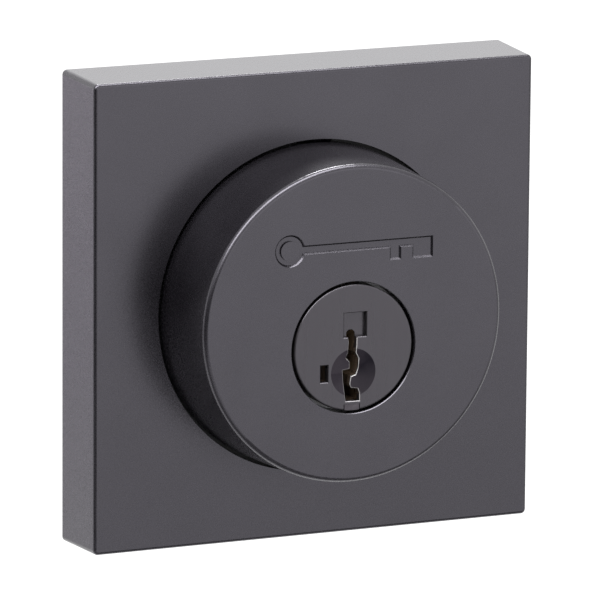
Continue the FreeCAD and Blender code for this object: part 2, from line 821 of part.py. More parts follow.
def make_pins():
    for number, depth in enumerate(pin_depths(), start=1):
        body = plug_body_at(f"key_pin_{number}", y=depth)
        sketch = new_sketch(body, "YZ_Plane")
        points = [
            ("0", "pin_tip_height"),
            ("pin_tip_radius", "pin_tip_height"),
            ("pin_radius", "pin_shoulder_height"),
        ]
        for tooth in range(int(value("tooth_count"))):
            middle = f"first_tooth + {tooth} * tooth_pitch"
            points += [
                ("pin_radius", f"{middle} - groove_width / 2"),
                ("pin_groove_radius", f"{middle} - groove_width / 2"),
                ("pin_groove_radius", f"{middle} + groove_width / 2"),
                ("pin_radius", f"{middle} + groove_width / 2"),
            ]
        points += [
            ("pin_radius", "pin_top"),
            ("pin_bore_radius", "pin_top"),
            ("pin_bore_radius", "pin_bore_floor"),
            ("0", "pin_bore_floor"),
        ]
        outline(sketch, points)
        turn("Revolution", body, sketch, "V_Axis")


def make_racks():
    for number, depth in enumerate(pin_depths(), start=1):
        body = plug_body_at(f"rack_{number}", y=depth)
        sketch = new_sketch(body, "XZ_Plane", "rack_width / 2")
        points = [("rack_outer", "rack_bottom"), ("rack_inner", "rack_bottom")]
        for tooth in range(int(value("tooth_count"))):
            middle = f"first_tooth + {tooth} * tooth_pitch"
            points += [
                ("rack_inner", f"{middle} - tooth_width / 2"),
                ("tooth_tip", f"{middle} - tooth_width / 2"),
                ("tooth_tip", f"{middle} + tooth_width / 2"),
                ("rack_inner", f"{middle} + tooth_width / 2"),
            ]
        points += [
            ("rack_inner", "rack_top"),
            ("rack_outer", "rack_top"),
            ("rack_outer", "sidebar_height + notch_width / 2"),
            ("rack_outer + notch_depth", "sidebar_height + notch_width / 2"),
            ("rack_outer + notch_depth", "sidebar_height - notch_width / 2"),
            ("rack_outer", "sidebar_height - notch_width / 2"),
        ]
        outline(sketch, points)
        pad(body, sketch, "rack_width", "front")


def spring_section(sketch, radius, wire, across="0", up="0"):
    """The section of the tube that a spring's coils fill."""
    circle(sketch, radius, across, up)
    circle(sketch, f"{radius} - {wire}", across, up)


def make_pin_springs():
    for number, depth in enumerate(pin_depths(), start=1):
        body = plug_body_at(f"pin_spring_{number}", y=depth)
        sketch = new_sketch(body, "XY_Plane", "pin_bore_floor + spring_play")
        spring_section(sketch, "pin_spring_radius", "pin_spring_wire")
        pad(body, sketch, "pin_channel_top - pin_bore_floor - 2 * spring_play", "up")


def make_carrier():
    body = plug_body_at("carrier")
    sketch = new_sketch(body, "XZ_Plane", "carrier_back")
    circle(sketch, "carrier_radius")
    pad(body, sketch, "carrier_back - carrier_front", "front")
    sketch = new_sketch(body, "XZ_Plane", "carrier_back")
    outline(sketch, [
        ("carrier_inner", FAR),
        ("carrier_inner", "carrier_shelf"),
        ("carrier_step", "carrier_shelf"),
        ("carrier_step", "carrier_bottom"),
        (-FAR, "carrier_bottom"),
        (-FAR, -FAR),
        (FAR, -FAR),
        (FAR, FAR),
    ])
    pocket(body, sketch, "carrier_back - carrier_front + 1", "front")
    # slots that the racks climb in
    sketch = new_sketch(body, "XY_Plane", "pin_channel_top")
    for depth in pin_depths():
        rectangle(
            sketch,
            "rack_slot_outer",
            "carrier_inner + 1",
            f"{depth} - rack_slot_width / 2",
            f"{depth} + rack_slot_width / 2",
        )
    pocket(body, sketch, "pin_channel_top - rack_slot_bottom", "down")
    # channel for the locking bar, with a window to each rack
    sketch = new_sketch(body, "YZ_Plane", "sidebar_floor")
    rectangle(
        sketch,
        "sidebar_front - sidebar_end_gap",
        "sidebar_back + sidebar_end_gap",
        "sidebar_height - sidebar_thickness / 2 - sidebar_side_gap",
        "sidebar_height + sidebar_thickness / 2 + sidebar_side_gap",
    )
    pocket(body, sketch, "carrier_radius", "left")
    sketch = new_sketch(body, "YZ_Plane", "sidebar_floor - overcut")
    for depth in pin_depths():
        rectangle(
            sketch,
            f"{depth} - finger_width / 2 - sidebar_side_gap",
            f"{depth} + finger_width / 2 + sidebar_side_gap",
            "sidebar_height - finger_thickness / 2 - sidebar_side_gap",
            "sidebar_height + finger_thickness / 2 + sidebar_side_gap",
        )
    pocket(body, sketch, "rack_slot_outer - sidebar_floor + 2 * overcut", "right")
    sketch = new_sketch(body, "YZ_Plane", "sidebar_floor - overcut")
    for depth in sidebar_spring_depths():
        circle(sketch, "bar_hole_radius", depth, "sidebar_height")
    pocket(body, sketch, "bar_hole_in_carrier + overcut", "right")
    # blind hole for the return spring
    sketch = new_sketch(body, "XZ_Plane", "carrier_back")
    circle(sketch, "return_hole_radius", "return_hole_side", "return_hole_height")
    pocket(body, sketch, "return_hole_depth", "front")


def sidebar_spring_depths():
    """Half-way between the first two racks and between the last two."""
    return ["first_pin + 0.5 * pin_spacing", "first_pin + 3.5 * pin_spacing"]


def make_sidebar():
    body = plug_body_at("sidebar")
    sketch = new_sketch(body, "YZ_Plane", "sidebar_inner")
    rectangle(
        sketch,
        "sidebar_front",
        "sidebar_back",
        "sidebar_height - sidebar_thickness / 2",
        "sidebar_height + sidebar_thickness / 2",
    )
    pad(body, sketch, "sidebar_inner - sidebar_nose", "left")
    nose = value("sidebar_nose")

    def is_nose_edge(edge):
        box = edge.BoundBox
        return runs_deep(edge) and abs(box.Center.x - nose) < 1e-4

    chamfer(body, "sidebar_chamfer", is_nose_edge)
    sketch = new_sketch(body, "YZ_Plane", "sidebar_inner")
    for depth in pin_depths():
        rectangle(
            sketch,
            f"{depth} - finger_width / 2",
            f"{depth} + finger_width / 2",
            "sidebar_height - finger_thickness / 2",
            "sidebar_height + finger_thickness / 2",
        )
    pad(body, sketch, "finger_tip - sidebar_inner", "right")
    sketch = new_sketch(body, "YZ_Plane", "sidebar_inner")
    for depth in sidebar_spring_depths():
        circle(sketch, "bar_hole_radius", depth, "sidebar_height")
    pocket(body, sketch, "bar_hole_in_bar", "left")


def make_carrier_springs():
    for number, depth in enumerate(sidebar_spring_depths(), start=1):
        body = plug_body_at(f"sidebar_spring_{number}")
        start = "sidebar_inner - bar_hole_in_bar + spring_play"
        sketch = new_sketch(body, "YZ_Plane", start)
        spring_section(sketch, "bar_spring_radius", "bar_spring_wire", depth, "sidebar_height")
        pad(body, sketch, f"sidebar_floor + bar_hole_in_carrier - spring_play - ({start})", "right")
    body = plug_body_at("carrier_spring")
    start = "carrier_pocket_back - spring_play"
    end = "carrier_back - return_hole_depth + spring_play"
    sketch = new_sketch(body, "XZ_Plane", start)
    spring_section(
        sketch,
        "return_spring_radius",
        "return_spring_wire",
        "return_hole_side",
        "return_hole_height",
    )
    pad(body, sketch, f"{start} - ({end})", "front")


def make_ring(body, inner, outer, front, back, opening):
    """A flat ring with a gap at its top."""
    sketch = new_sketch(body, "XZ_Plane", back)
    circle(sketch, outer)
    circle(sketch, inner)
    pad(body, sketch, f"{back} - ({front})", "front")
    sketch = new_sketch(body, "XZ_Plane", back)
    spread = math.tan(math.radians(value(opening) / 2))
    outline(sketch, [(0, 0), (f"{outer} * {spread}", outer), (f"{outer} * -{spread}", outer)])
    pocket(body, sketch, f"{back} - ({front}) + 1", "front")


def make_rings():
    """The retaining rings of the collar, of the plug and of the tailpiece."""
    make_ring(
        collar_body_at("collar_ring"),
        "collar_ring_groove_radius + ring_gap",
        "collar_ring_radius",
        "collar_ring_front",
        "collar_ring_back",
        "collar_ring_opening",
    )
    make_ring(
        plug_body_at("plug_clip"),
        "clip_groove_radius + ring_gap",
        "clip_radius",
        "clip_front",
        "clip_back",
        "clip_opening",
    )
    make_ring(
        plug_body_at("tailpiece_clip"),
        "snap_inner_radius",
        "snap_radius",
        "snap_front",
        "snap_back",
        "snap_opening",
    )


def make_tailpiece():
    blade = plug_body_at("tailpiece_blade")
    sketch = new_sketch(blade, "XZ_Plane", "cam_front")
    circle(sketch, "blade_radius")
    pad(blade, sketch, "blade_back - cam_front", "rear")
    tip = value("blade_back")
    chamfer(blade, "blade_tip_chamfer", lambda edge: lies_at(edge, tip))
    sketch = new_sketch(blade, "XZ_Plane", "cam_front - 1")
    rectangle(sketch, "blade_flat", FAR, -FAR, FAR)
    pocket(blade, sketch, "blade_back - cam_front + 2", "rear")

    hub = doc.addObject("Part::Cylinder", "cam_hub")
    bind(hub, "Radius", "cam_hub_radius")
    wing = doc.addObject("Part::Cylinder", "cam_wing")
    bind(wing, "Radius", "cam_radius")
    bind(wing, "Angle", "360 - lug_angle - lost_motion - lug_play")
    # the wing starts where a turn by the lost motion would bring it to the lug at the bottom
    wing_start = value("lug_angle / 2 + lost_motion + lug_play / 2") - 90.0
    for item, start in ((hub, 0.0), (wing, wing_start)):
        bind(item, "Height", "cam_back - cam_front")
        item.Placement.Rotation = FreeCAD.Rotation(
            FreeCAD.Vector(0, -1, 0), start
        ).multiply(FreeCAD.Rotation(FreeCAD.Vector(1, 0, 0), 90))
        place(item, "0", "cam_back", "collar_axis_height + plug_drop")
    blank = doc.addObject("Part::Fuse", "cam_blank")
    blank.Base = hub
    blank.Tool = wing
    cam = doc.addObject("Part::Cut", "tailpiece_cam")
    cam.Label = "tailpiece_cam"
    cam.Base = blank
    cam.Tool = blade
    nodes.append(cam)


def make_chassis():
    body = collar_body_at("chassis_plate")
    sketch = new_sketch(body, "XZ_Plane", "chassis_back")
    square(sketch, "chassis_width")
    pad(body, sketch, "chassis_back - chassis_front", "front")
    fillet(body, "chassis_corner", runs_deep)
    sketch = new_sketch(body, "XZ_Plane", "chassis_back")
    circle(sketch, "chassis_hole_radius", "0", "plug_drop")
    for across, up in corner_places():
        circle(sketch, "chassis_screw_hole", across, up)
    for side in ("-", ""):
        circle(sketch, "post_spigot_radius", f"{side}post_spacing / 2", "plug_drop")
    pocket(body, sketch, "chassis_back - chassis_front + 1", "front")
    screws = collar_body_at("chassis_screws", several=True)
    make_screws(
        screws,
        corner_places(),
        "chassis_back",
        "chassis_screw_radius",
        "chassis_screw_length",
        "chassis_screw_head",
        "chassis_screw_head_depth",
    )


def make_posts():
    """Threaded posts, riveted into the chassis plate."""
    for label, side in (("mounting_post_left", "-"), ("mounting_post_right", "")):
        body = plug_body_at(label, x=f"{side}post_spacing / 2")
        sketch = new_sketch(body, "YZ_Plane")
        outline(sketch, [
            ("post_rivet_front", "0"),
            ("post_rivet_front", "post_rivet_radius - post_rivet_edge"),
            ("post_rivet_front + post_rivet_edge", "post_rivet_radius"),
            ("chassis_front", "post_rivet_radius"),
            ("chassis_front", "post_spigot_radius"),
            ("chassis_back", "post_spigot_radius"),
            ("chassis_back", "post_flange_radius"),
            ("post_flange_back", "post_flange_radius"),
            ("post_flange_back", "post_radius"),
            ("post_back - post_chamfer", "post_radius"),
            ("post_back", "post_radius - post_chamfer"),
            ("post_back", "post_thread_radius"),
            ("post_back - post_thread_depth", "post_thread_radius"),
            ("post_back - post_thread_depth", "0"),
        ])
        turn("Revolution", body, sketch, "H_Axis")


def make_gasket():
    body = new_body("rose_gasket")
    sketch = new_sketch(body, "XZ_Plane", "gasket_back")
    square(sketch, "rose_width - 2 * rose_wall - 2 * gasket_gap")
    pad(body, sketch, "gasket_back - gasket_front", "front")
    fillet(body, "rose_inside_corner", runs_deep)
    sketch = new_sketch(body, "XZ_Plane", "gasket_back")
    square(sketch, "gasket_inside_width")
    pocket(body, sketch, "gasket_back - gasket_front + 1", "front")


def check_and_export():
    doc.recompute()
    for item in doc.Objects:
        if {"Invalid", "Error"} & set(item.State):
            raise RuntimeError(f"{item.Label} is {item.State}")
    for node in nodes:
        if node.Shape.isNull() or not node.Shape.isValid():
            raise RuntimeError(f"{node.Label} has no valid shape")
    os.makedirs("parts", exist_ok=True)
    for node in nodes:
        node.Shape.exportStep(f"parts/{node.Label}.step")
        box = node.Shape.BoundBox
        print(
            f"{node.Label:22s} solids {len(node.Shape.Solids)}  volume {node.Shape.Volume:9.2f}"
            f"  x {box.XMin:7.2f} {box.XMax:7.2f}  y {box.YMin:7.2f} {box.YMax:7.2f}"
            f"  z {box.ZMin:7.2f} {box.ZMax:7.2f}"
        )


make_rose()
make_collar()
make_balls()
make_shell()
make_cylinder_screws()
make_plug()
make_face_guards()
make_face_insert()
make_pins()
make_pin_springs()
make_racks()
make_carrier()
make_sidebar()
make_carrier_springs()
make_rings()
make_tailpiece()
make_chassis()
make_posts()
make_gasket()
check_and_export()
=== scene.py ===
import json
import math

import bpy
from mathutils import Matrix, Vector


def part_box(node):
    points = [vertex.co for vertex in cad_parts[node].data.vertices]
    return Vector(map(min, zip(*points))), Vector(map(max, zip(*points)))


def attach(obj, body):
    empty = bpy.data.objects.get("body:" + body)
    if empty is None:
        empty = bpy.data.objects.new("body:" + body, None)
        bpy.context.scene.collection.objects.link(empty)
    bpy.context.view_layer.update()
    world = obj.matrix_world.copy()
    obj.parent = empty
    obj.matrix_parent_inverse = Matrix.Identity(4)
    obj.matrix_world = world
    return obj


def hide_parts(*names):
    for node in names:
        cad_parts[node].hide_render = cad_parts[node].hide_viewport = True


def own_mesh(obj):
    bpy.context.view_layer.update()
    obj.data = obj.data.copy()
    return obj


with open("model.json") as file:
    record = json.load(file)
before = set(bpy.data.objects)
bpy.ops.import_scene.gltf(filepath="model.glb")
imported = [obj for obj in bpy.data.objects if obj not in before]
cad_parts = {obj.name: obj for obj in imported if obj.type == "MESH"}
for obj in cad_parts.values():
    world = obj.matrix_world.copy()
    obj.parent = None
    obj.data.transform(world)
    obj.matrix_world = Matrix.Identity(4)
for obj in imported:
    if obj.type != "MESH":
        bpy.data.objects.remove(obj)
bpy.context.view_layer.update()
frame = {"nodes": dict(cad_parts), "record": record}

# Deadbolt lock, exterior unit. Metres; the lock's face looks towards -Y and Z is up.
MM = 0.001

# The camera stands to the left of the lock and above it, far away, with a long lens.
CAMERA_YAW = math.radians(23.82)
CAMERA_PITCH = math.radians(11.94)
CAMERA_ROLL = math.radians(0.41)
CAMERA_DISTANCE = 0.9873
CAMERA_LENS_MM = 421.8
CAMERA_TARGET = Vector((2.59 * MM, 0, -1.82 * MM))

PLUG_CENTRE = sum(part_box("plug_face_guards"), Vector()) / 2
PLUG_LOW, PLUG_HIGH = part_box("plug_body")
PLUG_FACE = PLUG_LOW.y
PLUG_AXIS = Vector((0, 0, PLUG_HIGH.z - (PLUG_HIGH.x - PLUG_LOW.x) / 2))
PIN_COUNT = 5
X, Y, Z = range(3)

# Depths in mm behind the plug's face, each from where a change of finish, painted highlight or painted
# shade starts to where it ends.
# these two bound the painted highlight round the keyway's mouth
EDGE_HIGHLIGHT_STARTS = (0.01, 0.03)
EDGE_HIGHLIGHT_ENDS = (0.09, 0.14)
# where the painted shade in the gap round the plug's head starts
GAP_SHADE_STARTS = (0.08, 0.28)
GUARD_DULLS = (0.15, 0.5)
GUARD_ENDS = (2.4, 2.6)
PLATING_ENDS = (0.9, 1.3)
BARE_REAR_STARTS = (22.0, 25.0)

# Distances in mm from an axis along Y, in the same way.
KEYWAY_REACH = (4.85, 4.95)
PLUG_HEAD_EDGE = (8.70, 8.78)
COLLAR_HOLE_EDGE = (9.32, 9.36)
GUARD_DISC_EDGE = (3.4, 3.8)

# the painted shade in the gap takes the specular down to this
GAP_SHADE_SPECULAR = 0.03
# pale colours of the painted highlight round the keyway's mouth
PAINTED_EDGE_HIGHLIGHT = ((0.3, (0.12, 0.115, 0.115)), (0.7, (0.26, 0.25, 0.25)))


# Node trees -----------------------------------------------------------------------------------

def new_material(name, colour, metallic=0.0, roughness=0.4, specular=0.5):
    """A Principled material, and a small kit for wiring its inputs."""
    material = bpy.data.materials.new(name)
    material.use_nodes = True
    shader = material.node_tree.nodes["Principled BSDF"]
    shader.inputs["Base Color"].default_value = (*colour, 1)
    shader.inputs["Metallic"].default_value = metallic
    shader.inputs["Roughness"].default_value = roughness
    shader.inputs["Specular IOR Level"].default_value = specular
    return material, Kit(material.node_tree, shader)


class Kit:
    """Adds and wires nodes; every length is in millimetres."""

    def __init__(self, tree, shader):
        self.tree = tree
        self.shader = shader
        coordinates = tree.nodes.new("ShaderNodeTexCoord")
        self.place = self.scaled(coordinates.outputs["Object"], (1 / MM, 1 / MM, 1 / MM))

    def node(self, kind, **settings):
        node = self.tree.nodes.new(kind)
        for key, setting in settings.items():
            setattr(node, key, setting)
        return node

    def link(self, source, target):
        self.tree.links.new(source, target)

    def scaled(self, source, scale, location=(0, 0, 0)):
        """Coordinates about a point, stretched."""
        moved = self.node("ShaderNodeVectorMath", operation="SUBTRACT")
        self.link(source, moved.inputs[0])
        moved.inputs[1].default_value = location
        stretched = self.node("ShaderNodeVectorMath", operation="MULTIPLY")
        self.link(moved.outputs[0], stretched.inputs[0])
        stretched.inputs[1].default_value = scale
        return stretched.outputs[0]

    def noise(self, per_mm, detail=3.0, roughness=0.5, stretch=(1, 1, 1), distortion=0.0):
        node = self.node("ShaderNodeTexNoise")
        self.link(self.scaled(self.place, stretch), node.inputs["Vector"])
        node.inputs["Scale"].default_value = per_mm
        node.inputs["Detail"].default_value = detail
        node.inputs["Roughness"].default_value = roughness
        node.inputs["Distortion"].default_value = distortion
        return node.outputs["Fac"]

    def rings(self, centre, per_mm, distortion=0.6):
        """Concentric turned marks round an axis along Y."""
        node = self.node("ShaderNodeTexWave", wave_type="RINGS", rings_direction="Y")
        local = self.scaled(self.place, (1, 1, 1), tuple(c / MM for c in centre))
        self.link(local, node.inputs["Vector"])
        node.inputs["Scale"].default_value = per_mm
        node.inputs["Distortion"].default_value = distortion
        node.inputs["Detail"].default_value = 2.0
        node.inputs["Detail Scale"].default_value = 3.0
        return node.outputs["Fac"]

    def ramp(self, source, low, high, start=0.3, end=0.7):
        """Turn a 0 to 1 pattern into a range of numbers."""
        node = self.node("ShaderNodeMapRange", clamp=True)
        self.link(source, node.inputs["Value"])
        node.inputs["From Min"].default_value = start
        node.inputs["From Max"].default_value = end
        node.inputs["To Min"].default_value = low
        node.inputs["To Max"].default_value = high
        return node.outputs["Result"]

    def flip(self, share):
        """1 where the share is 0, and 0 where it is 1."""
        return self.ramp(share, 1.0, 0.0, 0.0, 1.0)

    def colours(self, source, *stops):
        """Turn a 0 to 1 pattern into colours."""
        node = self.node("ShaderNodeValToRGB")
        self.link(source, node.inputs["Fac"])
        elements = node.color_ramp.elements
        while len(elements) < len(stops):
            elements.new(0.5)
        for element, (position, colour) in zip(elements, stops):
            element.position = position
            element.color = (*colour, 1)
        return node.outputs["Color"]

    def depth_behind(self, level, start, end):
        """0 up to the first depth behind a level along Y, and 1 from the second."""
        node = self.node("ShaderNodeSeparateXYZ")
        self.link(self.scaled(self.place, (1, 1, 1), (0, level / MM, 0)), node.inputs["Vector"])
        return self.ramp(node.outputs["Y"], 0.0, 1.0, start, end)

    def round_y(self, centre, widen=1.0):
        """Distance in mm from an axis along Y, and the turn round it, 0 to 1 from -X by way of -Z."""
        flat = self.scaled(self.place, (widen, 0, 1), (centre.x / MM, 0, centre.z / MM))
        distance = self.node("ShaderNodeVectorMath", operation="LENGTH")
        self.link(flat, distance.inputs[0])
        apart = self.node("ShaderNodeSeparateXYZ")
        self.link(flat, apart.inputs["Vector"])
        angle = self.node("ShaderNodeMath", operation="ARCTAN2")
        self.link(apart.outputs["Z"], angle.inputs[0])
        self.link(apart.outputs["X"], angle.inputs[1])
        return distance.outputs["Value"], self.ramp(angle.outputs[0], 0.0, 1.0, -math.pi, math.pi)

    def blend(self, share, first, second):
        """The first colour where the share is 0, and the second where it is 1."""
        node = self.node("ShaderNodeMix", data_type="RGBA")
        self.link(share, node.inputs["Factor"])
        self.link(first, node.inputs[6])
        self.link(second, node.inputs[7])
        return node.outputs[2]

    def add(self, first, second, share):
        """first + share * second"""
        node = self.node("ShaderNodeMath", operation="MULTIPLY_ADD")
        self.link(second, node.inputs[0])
        node.inputs[1].default_value = share
        self.link(first, node.inputs[2])
        return node.outputs[0]

    def times(self, first, second):
        node = self.node("ShaderNodeMath", operation="MULTIPLY")
        self.link(first, node.inputs[0])
        self.link(second, node.inputs[1])
        return node.outputs[0]

    def painted_keyway_highlight(self):
        """1 on a painted highlight: a pale band just behind the face round the keyway, standing in for
        the glints on its edges.
        """
        distance = self.round_y(PLUG_CENTRE, widen=2.0)[0]
        near = self.ramp(distance, 1.0, 0.0, *KEYWAY_REACH)
        started = self.depth_behind(PLUG_FACE, *EDGE_HIGHLIGHT_STARTS)
        ended = self.depth_behind(PLUG_FACE, *EDGE_HIGHLIGHT_ENDS)
        return self.times(near, self.times(started, self.flip(ended)))

    def shade_in_gap(self):
        """Painted shade: takes the shine away in the gap round the plug's head, where shade falls."""
        distance = self.round_y(PLUG_AXIS)[0]
        beyond = self.ramp(distance, 0.0, 1.0, *PLUG_HEAD_EDGE)
        within = self.ramp(distance, 1.0, 0.0, *COLLAR_HOLE_EDGE)
        behind = self.depth_behind(PLUG_FACE, *GAP_SHADE_STARTS)
        gap_shade = self.times(behind, self.times(beyond, within))
        specular = self.shader.inputs["Specular IOR Level"]
        self.link(self.ramp(gap_shade, specular.default_value, GAP_SHADE_SPECULAR, 0.0, 1.0), specular)

    def colour(self, source):
        self.link(source, self.shader.inputs["Base Color"])

    def roughness(self, source):
        self.link(source, self.shader.inputs["Roughness"])

    def bump(self, source, height_mm):
        node = self.node("ShaderNodeBump")
        node.inputs["Strength"].default_value = 1.0
        node.inputs["Distance"].default_value = height_mm * MM
        self.link(source, node.inputs["Height"])
        self.link(node.outputs["Normal"], self.shader.inputs["Normal"])


def black_finish():
    """Satin black-grey coat on a cast part: faint orange peel and a fine grain."""
    material, kit = new_material("black_finish", (0.004, 0.0035, 0.0045), roughness=0.27, specular=0.75)
    kit.shader.inputs["Specular Tint"].default_value = (0.92, 0.88, 1.0, 1)
    mottle = kit.noise(0.12, detail=4.0)
    kit.colour(kit.colours(mottle, (0.35, (0.003, 0.0026, 0.0034)), (0.65, (0.005, 0.0045, 0.0056))))
    grain = kit.noise(5.0, detail=4.0, roughness=0.7)
    kit.roughness(kit.ramp(grain, 0.24, 0.30))
    peel = kit.noise(0.9, detail=2.0)
    kit.bump(kit.add(peel, grain, 0.3), 0.004)
    # painted shade in the gap round the plug's head
    kit.shade_in_gap()
    return material


def plug_metal():
    """Brass under black-grey plating at the face, a dull dark brown inside, and bright at the rear."""
    material, kit = new_material("plug_metal", (0.006, 0.0055, 0.006), roughness=0.3, specular=0.72)
    kit.shader.inputs["Specular Tint"].default_value = (0.94, 0.89, 1.0, 1)
    # the streaks are brushed marks in roughness and bumps, and in the plating's colour they also paint
    # faint vertical sheen bands
    streaks_and_sheen = kit.noise(0.9, detail=5.0, stretch=(1.0, 1.0, 0.12))
    plating = kit.colours(streaks_and_sheen, (0.3, (0.004, 0.0036, 0.004)), (0.7, (0.009, 0.0082, 0.009)))
    dulled = kit.colours(streaks_and_sheen, (0.3, (0.04, 0.026, 0.016)), (0.7, (0.08, 0.056, 0.036)))
    highlight_colour = kit.colours(streaks_and_sheen, *PAINTED_EDGE_HIGHLIGHT)
    brass = kit.colours(streaks_and_sheen, (0.3, (0.40, 0.28, 0.12)), (0.7, (0.58, 0.42, 0.20)))
    inside = kit.depth_behind(PLUG_FACE, *PLATING_ENDS)
    rear = kit.depth_behind(PLUG_FACE, *BARE_REAR_STARTS)
    plated = kit.blend(rear, kit.blend(inside, plating, dulled), brass)
    # painted highlight: a pale band round the keyway's mouth
    kit.colour(kit.blend(kit.painted_keyway_highlight(), plated, highlight_colour))
    kit.link(rear, kit.shader.inputs["Metallic"])
    turned = kit.rings(PLUG_CENTRE, 2.0, 0.3)
    kit.roughness(kit.ramp(streaks_and_sheen, 0.24, 0.36))
    kit.bump(kit.add(streaks_and_sheen, turned, 0.1), 0.004)
    # painted shade in the gap round the plug's head
    kit.shade_in_gap()
    return material


def hardened_steel():
    """Dark hardened steel with a painted sheen of light and dark sectors round the middle of the face
    guards, and dulled inside.
    """
    material, kit = new_material("hardened_steel", (0.02, 0.018, 0.022), metallic=1.0, roughness=0.3)
    kit.shader.inputs["Anisotropic"].default_value = 0.9
    tangent = kit.node("ShaderNodeTangent", direction_type="RADIAL", axis="Y")
    kit.link(tangent.outputs["Tangent"], kit.shader.inputs["Tangent"])
    marks = kit.rings(PLUG_CENTRE, 5.0, 0.4)
    blotch = kit.noise(0.8, detail=4.0)
    distance, turn = kit.round_y(PLUG_CENTRE)
    # painted sheen: a colour ramp round the disc's centre paints the light and dark sectors that turned
    # metal throws back
    painted_sheen = kit.colours(
        kit.add(kit.add(turn, blotch, 0.12), marks, 0.01),
        (0.06, (0.022, 0.019, 0.024)),
        (0.25, (0.036, 0.032, 0.038)),
        (0.48, (0.026, 0.023, 0.028)),
        (0.65, (0.009, 0.008, 0.011)),
        (0.80, (0.022, 0.019, 0.024)),
        (0.95, (0.032, 0.028, 0.034)),
    )
    plain = kit.colours(blotch, (0.3, (0.06, 0.054, 0.062)), (0.7, (0.075, 0.068, 0.077)))
    dulled = kit.colours(blotch, (0.3, (0.024, 0.017, 0.012)), (0.7, (0.05, 0.036, 0.026)))
    highlight_colour = kit.colours(blotch, *PAINTED_EDGE_HIGHLIGHT)
    inside = kit.depth_behind(PLUG_FACE, *GUARD_DULLS)
    deeper = kit.depth_behind(PLUG_FACE, *GUARD_ENDS)
    beyond = kit.ramp(distance, 0.0, 1.0, *GUARD_DISC_EDGE)
    face = kit.blend(beyond, painted_sheen, plain)
    # painted highlight round the keyway's mouth, kept out of the metallic
    edge = kit.painted_keyway_highlight()
    unhighlighted = kit.blend(deeper, kit.blend(inside, face, dulled), plain)
    kit.colour(kit.blend(edge, unhighlighted, highlight_colour))
    bare = kit.times(kit.flip(inside), kit.flip(edge))
    kit.link(kit.add(bare, deeper, 1.0), kit.shader.inputs["Metallic"])
    kit.roughness(kit.ramp(marks, 0.24, 0.34, 0.0, 1.0))
    kit.bump(marks, 0.002)
    return material


def zinc_casting():
    """Bare zinc alloy as cast: dull grey with a faint crystalline mottle."""
    material, kit = new_material("zinc_casting", (0.36, 0.36, 0.37), metallic=0.9, roughness=0.5)
    mottle = kit.noise(0.7, detail=6.0, roughness=0.65)
    kit.colour(kit.colours(mottle, (0.3, (0.25, 0.25, 0.262)), (0.7, (0.44, 0.44, 0.45))))
    kit.roughness(kit.ramp(mottle, 0.42, 0.6))
    kit.bump(kit.noise(2.6, detail=5.0, roughness=0.6), 0.02)
    return material


def zinc_plated_steel():
    """Zinc-plated steel: bright, with rolling marks and a faint blue and straw passivate."""
    material, kit = new_material("zinc_plated_steel", (0.4, 0.41, 0.42), metallic=1.0, roughness=0.32)
    cloud = kit.noise(0.11, detail=3.0, distortion=1.2)
    kit.colour(kit.colours(
        cloud,
        (0.32, (0.345, 0.36, 0.385)),
        (0.5, (0.39, 0.39, 0.39)),
        (0.68, (0.405, 0.395, 0.37)),
    ))
    marks = kit.noise(1.6, detail=6.0, roughness=0.7, stretch=(1.0, 1.0, 0.06))
    kit.roughness(kit.ramp(marks, 0.24, 0.44))
    kit.bump(marks, 0.0015)
    return material


def phosphated_steel():
    """Spring steel with a black phosphate coat, which is matt and faintly crystalline."""
    material, kit = new_material("phosphated_steel", (0.012, 0.012, 0.013), roughness=0.6, specular=0.3)
    crystals = kit.noise(6.0, detail=4.0, roughness=0.7)
    kit.colour(kit.colours(crystals, (0.3, (0.008, 0.008, 0.009)), (0.7, (0.02, 0.02, 0.021))))
    kit.roughness(kit.ramp(crystals, 0.5, 0.7))
    kit.bump(crystals, 0.004)
    return material


def spring_steel():
    """Bare drawn wire with fine marks along its length."""
    material, kit = new_material("spring_steel", (0.42, 0.42, 0.44), metallic=1.0, roughness=0.28)
    drawn = kit.noise(1.4, detail=3.0, stretch=(1.0, 0.2, 1.0))
    kit.colour(kit.colours(drawn, (0.3, (0.30, 0.30, 0.315)), (0.7, (0.38, 0.38, 0.395))))
    kit.roughness(kit.ramp(drawn, 0.24, 0.34))
    kit.bump(drawn, 0.001)
    return material


def pin_brass():
    """Turned brass, lightly tarnished."""
    material, kit = new_material("pin_brass", (0.72, 0.52, 0.24), metallic=1.0, roughness=0.28)
    tarnish = kit.noise(1.2, detail=5.0)
    kit.colour(kit.colours(tarnish, (0.3, (0.56, 0.38, 0.16)), (0.7, (0.78, 0.58, 0.28))))
    kit.roughness(kit.ramp(tarnish, 0.2, 0.36))
    kit.bump(kit.noise(4.0, detail=3.0, stretch=(0.3, 0.3, 2.0)), 0.003)
    return material


def seal_rubber():
    """Closed-cell foam rubber: matt black with fine pores."""
    material, kit = new_material("seal_rubber", (0.02, 0.02, 0.021), roughness=0.85, specular=0.3)
    pores = kit.node("ShaderNodeTexVoronoi")
    kit.link(kit.place, pores.inputs["Vector"])
    pores.inputs["Scale"].default_value = 2.6
    cells = pores.outputs["Distance"]
    kit.colour(kit.colours(cells, (0.05, (0.009, 0.009, 0.01)), (0.45, (0.03, 0.03, 0.032))))
    kit.roughness(kit.ramp(cells, 0.95, 0.75, 0.0, 0.5))
    kit.bump(kit.ramp(cells, 0.0, 1.0, 0.0, 0.4), 0.06)
    return material


MATERIALS = {
    build.__name__: build()
    for build in (
        black_finish,
        plug_metal,
        hardened_steel,
        zinc_casting,
        zinc_plated_steel,
        phosphated_steel,
        spring_steel,
        pin_brass,
        seal_rubber,
    )
}


def dress_cad_nodes():
    """Give each CAD piece the material of its slot."""
    for part in frame["record"]["subparts"]:
        mesh = frame["nodes"][part["node"]].data
        mesh.materials.clear()
        mesh.materials.append(MATERIALS[part["material_slot"]])


# Coil springs ---------------------------------------------------------------------------------

